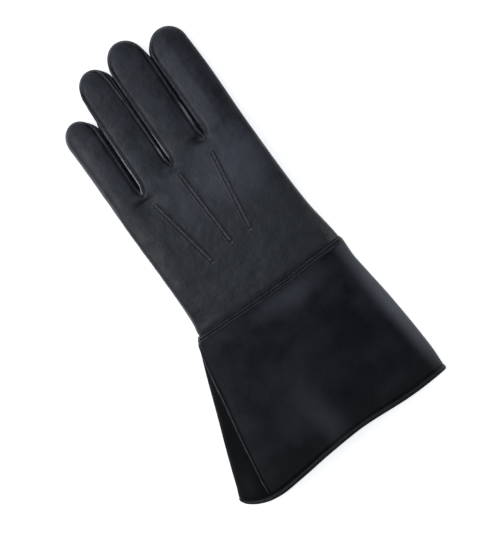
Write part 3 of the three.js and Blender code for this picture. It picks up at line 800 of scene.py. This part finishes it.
def cuff_point(face, across, share, inset=0.0, beyond=0.0):
    """A point of the cuff: across runs from -1, the gusset side, to 1; share is 0 at the wrist."""
    at_wrist = lerp(*CUFF_AT_WRIST, (across + 1) / 2)
    at_hem = lerp(*CUFF_AT_HEM, (across + 1) / 2)
    start = WRIST_SEAM.read("y", at_wrist)
    end = HEM.read("y", at_hem) + HEM_FLOOR
    y = lerp(start, end, share) - beyond
    left, right = CUFF.read("left", y) + inset, CUFF.read("right", y) - inset
    side = CUFF.read("side", y)
    crest = CUFF.read("back", y) - inset if face > 0 else CUFF.read("under", y) + inset
    round_edge = PALM_ROUND
    if face > 0:
        full = CUFF_EDGE if across > 0 else BACK_ROUND
        round_edge = lerp(BACK_ROUND, full, smooth(start - y, 1, 22))
    height = side + (crest - side) * swell(across, round_edge)
    x = lerp(left, right, (across + 1) / 2)
    if face < 0:
        height = max(height, inset + HEM_FLOOR * smooth(share, 0.84, 0.94))
    return Vector((x, y, height))


# Sunk lines of stitching and the puffed strips beside them: how far below the edge, how strong
WRIST_LINES = ((0.45, 1.0), (2.7, 1.0), (4.7, 0.4))
WRIST_PUFFS = ((1.6, 1.0), (3.55, 0.9), (5.6, 0.4))
LINE_DEEP, LINE_WIDE = 0.68, 0.42
PUFF_HIGH, PUFF_WIDE = 0.4, 0.55


def wrist_relief(below):
    """The turned edge that laps the hand, with its sunk lines of stitching and puffed strips."""
    edge = -0.5 * (1 - min(1, below / 0.9)) ** 2
    sunk = sum(deep * bell(below - line, LINE_WIDE) for line, deep in WRIST_LINES)
    puffed = sum(full * bell(below - puff, PUFF_WIDE) for puff, full in WRIST_PUFFS)
    return edge - LINE_DEEP * sunk + PUFF_HIGH * puffed


def gusset_seam(share):
    """Where the gusset's seam crosses the cuff, from -1 on the gusset side to 1."""
    y = cuff_point(BACK, -0.8, share).y
    width = CUFF.read("right", y) - CUFF.read("left", y)
    return -1 + 2 * GUSSET.read("width", y) / width


def cuff_worn(face, point, across, share):
    """How far folds, stitching and the lap over the hand move the cuff's leather up or down there."""
    below = max(0.0, WRIST_SEAM.read("y", point.x) - point.y)
    calm = min(1, 2 * (1 - abs(across)) ** 0.5)
    if face > 0:
        lift = (folded(CUFF_FOLDS, point.x, point.y) + 0.7 * wavy(point.x, point.y, 38, 1.3)
                + 0.2 * wavy(point.x, point.y, 13, 5.2)) * calm * smooth(below, 1, 12)
    else:
        lift = (0.5 * (1 + wavy(point.x, point.y, 30, 9.4)) * calm * smooth(below, 4, 16)
                * (1 - smooth(share, 0.85, 0.97)))
    lap = CUFF_LAP * (1 - smooth(below, *LAP_RISE)) * calm
    return face * (wrist_relief(below) - lap) + lift


# Rows down the cuff as shares of its length, and columns across it: close together at its seams
CUFF_ROWS_MM = [0.225 * k for k in range(25)] + [5.9, 6.6, 7.6, 9.0]
CUFF_ROWS = [d / CUFF_LONG for d in CUFF_ROWS_MM]
CUFF_ROWS += [lerp(CUFF_ROWS[-1], 0.94, k / 48) for k in range(1, 49)]
CUFF_ROWS += [0.948, 0.955, 0.961, 0.966, 0.970, 0.974, 0.979, 0.986]
NEAR_SEAM = [0, 0.4, 0.75, 1.1, 1.5, 1.9, 2.4, 3.2, 4.4, 6.2]
CUFF_COLUMNS = [d / 140 for d in NEAR_SEAM]
CUFF_COLUMNS += [lerp(CUFF_COLUMNS[-1], 1, math.sin(math.pi / 2 * k / 54)) for k in range(1, 55)]
GUSSET_COLUMNS = [math.sin(math.pi / 2 * k / 18) for k in range(19)]


def both_faces(columns):
    """Columns across the back face and on round the side across the palm face."""
    return [(BACK, share) for share in columns] + [(PALM, share) for share in reversed(columns[:-1])]


def seam_groove(from_seam):
    return -0.5 * bell(from_seam - 1.5, 0.6) + 0.12 * bell(from_seam - 3.2, 1.0)


# The edges turned in at the wrist and tucked under the hem: where, and how far in
TURNED_LONG, TURNED_IN = 4, 1.1
TUCKED_AT, TUCKED_IN = (115.9, 117.4), 0.75


def cuff_skin(stations, rows, across_at):
    bm = bmesh.new()

    def where(column, row):
        face, share = stations[column]
        down = rows[row]
        across, from_seam = across_at(down, share)
        turned = 1 - min(1, down * CUFF_LONG / TURNED_LONG)
        tucked = smooth(down * CUFF_LONG, *TUCKED_AT)
        point = cuff_point(face, across, down, TURNED_IN * turned * turned + TUCKED_IN * tucked)
        point.z += cuff_worn(face, point, across, down) + face * seam_groove(from_seam)
        point.z = max(point.z, 0.0)
        return point

    grid(bm, len(stations), len(rows), where)
    for f in bm.faces:
        middle = f.calc_center_median()
        if WRIST_SEAM.read("y", middle.x) - middle.y < WRIST_LINES[-1][0]:
            f.material_index = 2
    bmesh.ops.remove_doubles(bm, verts=bm.verts[:], dist=0.02)
    return bm


# The cuff's widths at wrist and hem, and how far from the seam no groove is left
CUFF_WIDTHS, NO_GROOVE = (130, 176), 40


def cuff_across(down, share):
    """Where a column of the panel lies, and how far it is from the gusset's seam."""
    seam = gusset_seam(down)
    away = (1 - seam) * share / 2 * lerp(*CUFF_WIDTHS, down)
    return lerp(seam, 1, share), away + NO_GROOVE * (1 - smooth(down, 0.06, 0.12))


def gusset_across(down, share):
    return lerp(gusset_seam(down), -1, share), NO_GROOVE


cuff = cuff_skin(both_faces(CUFF_COLUMNS), CUFF_ROWS, cuff_across)
gusset_rows = [s for s in CUFF_ROWS if gusset_seam(s) > -0.999]
gusset = cuff_skin(both_faces(GUSSET_COLUMNS), gusset_rows, gusset_across)
bmesh.ops.reverse_faces(cuff, faces=cuff.faces[:])
cuff_tree = BVHTree.FromBMesh(cuff)
finish_piece("cuff_panel", cuff, [CUFF_SKIN, INSIDE, BAND_SKIN, INSIDE], ["cuff"],
             CUFF_LEATHER)
finish_piece("gusset", gusset, [GUSSET_SKIN, INSIDE, GUSSET_SKIN, INSIDE],
             ["cuff_gusset"], CUFF_LEATHER)


# ---- The hem ----

HEM_ROLL = [
    # depth up from the edge, inset from the cuff's skin
    (3.7, 0.12), (3.4, -0.12), (3.1, -0.05), (2.85, 0.2), (2.6, 0.34), (2.35, 0.15), (2.05, -0.3),
    (1.7, -0.66), (1.3, -0.86), (0.8, -0.92), (0.3, -0.82), (-0.2, -0.62), (-0.6, -0.35),
    (-0.95, -0.05), (-1.2, 0.35), (-1.3, 0.8), (-1.3, 1.3), (-1.1, 1.8), (-0.6, 2.3), (0.2, 2.6),
    (1.4, 2.6), (2.4, 2.6), (3.0, 2.4), (3.0, 1.9), (1.8, 1.5), (1.8, 0.9),
]
# The rows of the roll down to its stitching are finished as the cuff is
HEM_STITCHED = 6
HEM_STEPS = 150


def hem_line():
    """Places round the mouth of the cuff, close together at its two sides."""
    half = [-1 + 2 * (0.5 - 0.5 * math.cos(math.pi * k / HEM_STEPS)) for k in range(HEM_STEPS + 1)]
    return [(BACK, across) for across in half] + [(PALM, across) for across in reversed(half[1:-1])]


def hem_skin():
    bm = bmesh.new()
    stations = hem_line()

    def where(column, row):
        face, across = stations[column % len(stations)]
        depth, inset = HEM_ROLL[row % len(HEM_ROLL)]
        if inset < -0.2:
            inset *= 1 - 0.45 * abs(across) ** 10
        point = cuff_point(face, across, 1, inset, -depth)
        edge = cuff_point(face, across, 1)
        point.z += cuff_worn(face, edge, across, 1)
        if face > 0 and inset < 0:
            point.z += 0.12 * wavy(point.x, point.y, 4, 2.2)
        return point

    grid(bm, len(stations) + 1, len(HEM_ROLL) + 1, where)
    bm.verts.index_update()
    for f in bm.faces:
        last_row = max(v.index for v in f.verts) // (len(stations) + 1)
        f.material_index = 1 if last_row <= HEM_STITCHED else 0
    closed(bm)
    return bm


hem = hem_skin()
hem_tree = BVHTree.FromBMesh(hem)
finish_piece("hem", hem, [HEM_SKIN, CUFF_SKIN], ["hem_binding"])


# ---- Seam welts: two raw edges sewn together and standing up ----

WELT = [
    (-0.85, -0.8), (0.85, -0.8), (0.92, 0.15), (0.78, 0.6), (0.45, 0.78), (0.12, 0.68), (0.0, 0.5),
    (-0.12, 0.68), (-0.45, 0.78), (-0.78, 0.6), (-0.92, 0.15),
]
RING_SEAM = Table(
    "along t", (1.0, 0.95), (1.7, 0.86), (1.86, 0.79), (2.12, 0.73), (2.5, 0.77), (2.9, 0.85),
)
# How far past the webs the seams run
SEAM_REACH, RING_SEAM_REACH = 1.5, 1.88
SEAM_STEPS, SEAM_PACE = 90, 1.3


def welt_t(finger, side, along):
    """Where a finger's back seam runs, as a share of the way from its middle line to its side."""
    if finger == 1 and side > 0:
        return RING_SEAM.read("t", along)
    return lerp(0.995, 0.92, smooth(along, 1.75, 2.3))


def finger_seam(face, finger):
    """The line of a back or palm seam: down one finger's side, round the web and up the next's."""
    reach = RING_SEAM_REACH if finger == 1 else SEAM_REACH
    past = [(k / SEAM_STEPS) ** SEAM_PACE for k in range(SEAM_STEPS + 1)]
    line = [(finger, 1 + share * reach, 1) for share in reversed(past[1:])]
    line += [(finger + 1, 1 + share * SEAM_REACH, -1) for share in past]
    spots = [hand_point(face, owner, along, side * welt_t(owner, side, along))
             for owner, along, side in line]
    points, ways = draped(hand_tree, spots, face)
    return points, [(way + Vector((0, 0, 0.8 * face))).normalized() for way in ways]


def tapered(length, ends, small=0.0, uneven=0.0):
    """Full size along a strip, falling to its ends over a few millimetres."""
    def size(share):
        near = min(share, 1 - share) * length
        full = 1 + uneven * wavy(share * length, length, 7)
        return lerp(small, full, math.sin(math.pi / 2 * min(1, near / ends)))
    return size


stitch_runs = []


def stitched(run_name, line, ways, side, up, skin=None):
    """Notes a run of stitches beside a line on a skin, laid on that skin, to be sewn at the end."""
    stitch_runs.append((run_name, line, ways, side, up, skin))


# Brighter and darker lengths of the finger seams' edges, painted highlight and painted shade: gap, side
# of it, from and to along y, finish
HIGHLIGHT_PAINTED, SHADED = 1, 2
EDGE_PAINTED_LIGHT = [
    (0, 1, 107, 160, HIGHLIGHT_PAINTED), (1, -1, 100, 118, SHADED), (1, 1, 100, 118, SHADED),
    (1, 1, 158, 172, SHADED), (2, -1, 100, 127, SHADED), (2, 1, 100, 127, SHADED),
    (2, -1, 147, 210, SHADED), (2, 1, 150, 184, SHADED),
]


def edge_finish(gap, point, towards_gap):
    side = 1 if point.x > WEBS[gap][0] else -1
    for at_gap, at_side, low, high, finish in EDGE_PAINTED_LIGHT:
        here = (at_gap, at_side) == (gap, side) and low < point.y < high
        if here and (towards_gap or finish == SHADED):
            return finish
    return 0


def welts(name, runs, skins, scale, stitches=(), ends=9.0, under=None, uneven=0.3):
    """The welts along some seams, as one piece, with the stitches that run beside them."""
    bm = bmesh.new()
    for gap, (points, ways) in enumerate(runs):
        line, out, length = even(points, ways, 0.7)
        profile = [(side * scale, up * scale) for side, up in WELT]
        made = sweep(bm, line, out, profile, tapered(length, ends, 0.02, uneven))
        if len(skins) > 1:
            for f, sides in sides_of(bm, made, len(line), WELT):
                f.material_index = edge_finish(gap, f.calc_center_median(), max(sides) <= 0.2)
        for side, up in stitches:
            stitched(name, line, out, side, up, under)
    closed(bm)
    finish_piece(name, bm, skins)


back_seams = [finger_seam(BACK, finger) for finger in range(3)]
palm_seams = [finger_seam(PALM, finger) for finger in range(3)]
# Their finishes: the seam edge, a painted highlight, and painted shade in the hand's leather
welts("back_finger_seams", back_seams, [EDGE_SKIN, HIGHLIGHT_PAINTED_EDGE, HAND_SKIN],
      scale=0.95, stitches=[(GROOVE_IN, 0.05)], ends=16, under=hand_tree)
welts("palm_finger_seams", palm_seams, [EDGE_SKIN], scale=0.62)


def side_seam():
    """The seam down the little-finger side, from the wrist to the fingertip."""
    points, ways = [], []
    for k in range(200):
        along = 0.04 + 2.9 * k / 199
        p, q = hand_point(BACK, 0, along, -1), hand_point(BACK, 0, min(3, along + 0.02), -1)
        way = Vector((-(q.y - p.y), q.x - p.x, 0)).normalized()
        points.append(p - way * 0.35)
        ways.append(way)
    return points, ways


def thumb_seam():
    """The seam along the thumb's edge and round its tip."""
    points, ways = [], []
    straight = THUMB_LENGTH - THUMB_ROOT_ROUND - THUMB_TIP_ROUND
    for k in range(121):
        share = k / 80
        if share <= 1:
            along, across, turn = THUMB_ROOT_ROUND + straight * share, 1.0, 0.0
        else:
            turn = (share - 1) * math.pi
            along, across = THUMB_LENGTH - THUMB_TIP_ROUND * (1 - math.sin(turn)), math.cos(turn)
        half = lerp(THUMB_ROOT_HALF, THUMB_TIP_HALF, along / THUMB_LENGTH)
        plan = THUMB_ROOT + THUMB_ALONG * along + THUMB_ACROSS * across * half
        way = THUMB_ACROSS * math.cos(turn) + THUMB_ALONG * math.sin(turn)
        points.append(Vector((plan.x, plan.y, THUMB_HEIGHT / 2 - 0.5)))
        ways.append(Vector((way.x, way.y, -0.35)).normalized())
    return points, ways


for name, run, up in (("thumb_seam", thumb_seam(), 0.1), ("little_side_seam", side_seam(), 0.35)):
    welts(name, [run], [HAND_SKIN], scale=0.8, stitches=[(-1.15, up)])


# ---- Three raised points on the back ----

POINTS = [((-35.5, 96.5), (-24.1, 38.4)), ((-8.1, 105.2), (-5.0, 42.6)), ((20.2, 105.2), (11.5, 42.8))]
POINT_GROOVE = 1.55
HALF_RIDGE = [
    (-3.2, -0.25), (-2.7, 0.0), (-2.3, 0.16), (-2.0, 0.16), (-1.75, -0.02), (-1.55, -0.16),
    (-1.35, 0.1), (-1.12, 0.62), (-0.8, 0.86), (-0.35, 0.86),
]
POINT_RIDGE = HALF_RIDGE + [(0.0, 0.76)] + [(-side, up) for side, up in reversed(HALF_RIDGE)]


def raised_points():
    bm = bmesh.new()
    for start, end in POINTS:
        plan = [Vector(start).lerp(Vector(end), k / 90) for k in range(91)]
        line, ways = draped(hand_tree, plan)
        length = (Vector(start) - Vector(end)).length
        made = sweep(bm, line, ways, POINT_RIDGE, tapered(length, 2.6, 0.05), round_profile=False)
        for f, sides in sides_of(bm, made, len(line), POINT_RIDGE):
            f.material_index = 1 if max(map(abs, sides)) <= POINT_GROOVE else 0
        for side in (-POINT_GROOVE, POINT_GROOVE):
            stitched("points", line, ways, side, -0.02)
    finish_piece("raised_points", bm, [HAND_SKIN, POINT_SKIN])


raised_points()


# ---- The gusset's welt, and the wrist's and the hem's stitching ----

GUSSET_WELT, GUSSET_STEPS = (0.045, 0.969), 110


def gusset_line():
    """The gusset's seam: up the back from the hem to its point, and down the palm side."""
    points, ways = [], []
    shares = [lerp(*GUSSET_WELT, (k / GUSSET_STEPS) ** 0.9) for k in range(GUSSET_STEPS + 1)]
    for face, run in ((BACK, reversed(shares)), (PALM, shares)):
        for share in run:
            seam = gusset_seam(share)
            point = cuff_point(face, min(0.99, seam + 0.002), share)
            hit, way = drape(cuff_tree, point.x, point.y, face)
            # Where the panel is tucked under the hem its edge has moved aside
            points.append(point if abs(hit.z - point.z) > 4 else hit)
            ways.append(way)
    return points, ways


welts("gusset_seam", [gusset_line()], [GUSSET_EDGE], scale=0.58,
      stitches=[(1.2, 0.0)], ends=1.5, under=cuff_tree, uneven=0.5)


def cuff_run(face, tree, count, *where):
    """A line across a face of the cuff: where is cuff_point's share, inset and beyond."""
    across = [lerp(-0.985, 0.985, k / count) for k in range(count + 1)]
    return draped(tree, [cuff_point(face, at, *where) for at in across], face)


for face in (BACK, PALM):
    for below, deep in WRIST_LINES:
        name = "wrist" if deep == 1 else "wrist_end"
        stitched(name, *cuff_run(face, cuff_tree, 140, 0, 0, below), 0, 0.12)
    stitched("hem", *cuff_run(face, hem_tree, 180, 1, -1, -2.6), 0, 0.06)


# ---- Sewing ----

# Pitch, length and thickness of the stitches, and how far each strays and turns
STITCHES = {
    "wrist": (2.1, 1.25, 0.9), "wrist_end": (2.4, 1.0, 0.5), "hem": (2.0, 1.25, 0.85),
    "points": (1.35, 0.95, 0.4),
}
PLAIN_STITCH = (1.6, 1.2, 0.64)
STRAY, TURN = 0.1, 0.16


def sew(name, runs):
    """Sews the noted runs, each stitch a small solid of its own."""
    every = bmesh.new()
    mesh = bpy.data.meshes.new("run")
    jitter = random.Random(7)
    for run_name, points, ways, side, up, skin in runs:
        bm = bmesh.new()
        pitch, long, thick = STITCHES.get(run_name, PLAIN_STITCH)
        line, out, _ = even(points, ways, pitch)
        for point, tangent, across, lift in frames(line, out)[1:-1]:
            beside = point + across * (side + jitter.uniform(-STRAY, STRAY))
            if skin:
                face = BACK if lift.z > 0 else PALM
                beside, lift = drape(skin, beside.x, beside.y, face)
                across = tangent.cross(lift).normalized()
                tangent = lift.cross(across)
            where = beside + lift * up
            turn = Matrix((tangent, across, lift)).transposed()
            turn = turn @ Matrix.Rotation(jitter.uniform(-TURN, TURN), 3, "Z")
            size = Matrix.Diagonal((long / 2, thick / 2, thick / 2))
            matrix = Matrix.Translation(where) @ (turn @ size).to_4x4()
            bmesh.ops.create_uvsphere(bm, u_segments=6, v_segments=4, radius=1, matrix=matrix)
        bm.to_mesh(mesh)
        bm.free()
        every.from_mesh(mesh)
    bpy.data.meshes.remove(mesh)
    finish_piece(name, every, [THREAD])


WRIST_KNOT, TOP_KNOT = 0.52, 0.36
KNOT_PAST, KNOT_BESIDE, KNOT_UP = 0.4, 0.45, 0.3


def thread_ends():
    """The knots that end each point's two lines of stitching, their thread painted light as a glint."""
    bm = bmesh.new()
    for top, wrist in POINTS:
        for end, other, size in ((wrist, top, WRIST_KNOT), (top, wrist, TOP_KNOT)):
            along = (Vector(end) - Vector(other)).normalized()
            for side in (-KNOT_BESIDE, KNOT_BESIDE):
                x = end[0] + along.x * KNOT_PAST - along.y * side
                y = end[1] + along.y * KNOT_PAST + along.x * side
                hit, way = drape(hand_tree, x, y)
                size_3d = Matrix.Diagonal((size, size, 0.8 * size, 1))
                matrix = Matrix.Translation(hit + way * KNOT_UP) @ size_3d
                bmesh.ops.create_uvsphere(bm, u_segments=10, v_segments=6, radius=1, matrix=matrix)
    finish_piece("thread_ends", bm, [PAINTED_GLINT_THREAD])


thread_ends()


CUFF_RUNS = ("wrist", "wrist_end", "hem", "gusset_seam")
sew("hand_stitches", [r for r in stitch_runs if r[0] not in CUFF_RUNS])
sew("cuff_stitches", [r for r in stitch_runs if r[0] in CUFF_RUNS])


# ---- The table, the light and the camera ----

def table_top():
    bm = bmesh.new()
    bmesh.ops.create_grid(bm, x_segments=1, y_segments=1, size=4)
    mesh = bpy.data.meshes.new("table")
    bm.to_mesh(mesh)
    bm.free()
    floor = shown("table", mesh)
    material, tree, shader, _ = node_tree("white_table")
    feed(tree, shader, {
        "Base Color": (0.92, 0.92, 0.92, 1), "Roughness": 0.8, "Specular IOR Level": 0.2,
        "Emission Color": (1, 1, 1, 1), "Emission Strength": 0.7,
    })
    mesh.materials.append(material)


def sky():
    """Soft studio light from all round, brighter overhead, ahead and to the little-finger side."""
    world = bpy.data.worlds.new("studio")
    bpy.context.scene.world = world
    tree = cleared(world)
    way = add(tree, "TexCoord", {}).outputs["Generated"]
    bright = Vector((-0.44, 0.52, 0.73)).normalized()
    facing = add(tree, "VectorMath", {0: way, 1: bright}, operation="DOT_PRODUCT").outputs["Value"]
    share = ranged(tree, facing, 0, 1, 0.35, 0.95)
    colour = mixed(tree, share, (0.164, 0.173, 0.188), (0.865, 0.95, 1.08))
    back = add(tree, "Background", {"Color": colour, "Strength": 1.0})
    add(tree, "OutputWorld", {"Surface": back.outputs["Background"]})


def soft_light(name, at, to, width, height, power, spread=180):
    light = bpy.data.lights.new(name, "AREA")
    light.shape = "RECTANGLE"
    light.size, light.size_y = width, height
    light.energy = power
    light.spread = math.radians(spread)
    lamp = shown(name, light)
    lamp.location = at
    lamp.rotation_euler = (Vector(to) - Vector(at)).to_track_quat("-Z", "Y").to_euler()


VIEW_HEIGHT = 0.3847
CAMERA_UP = 2.0
PHOTO_TURN = -34.5
SENSOR = 36
# The middle of the view
AIM = (0.0123, -0.0210, 0.0135)


def camera():
    data = bpy.data.cameras.new("camera")
    data.sensor_width = SENSOR
    data.lens = SENSOR * CAMERA_UP / VIEW_HEIGHT
    data.clip_start, data.clip_end = 0.05, 20
    seen = shown("camera", data)
    seen.location = (AIM[0], AIM[1], AIM[2] + CAMERA_UP)
    seen.rotation_euler = (0, 0, math.radians(PHOTO_TURN))
    bpy.context.scene.camera = seen


table_top()
sky()
soft_light("overhead", (-0.9, 0.3, 1.4), (0, 0, 0), 1.0, 1.0, 5)
# The light that brightens the cuff's thumb side
soft_light("cuff_side", (0.33, -0.098, 0.15), (0.083, -0.100, 0.016), 0.14, 0.26, 0.045, 60)
camera()
bpy.context.scene.view_settings.view_transform = "Standard"
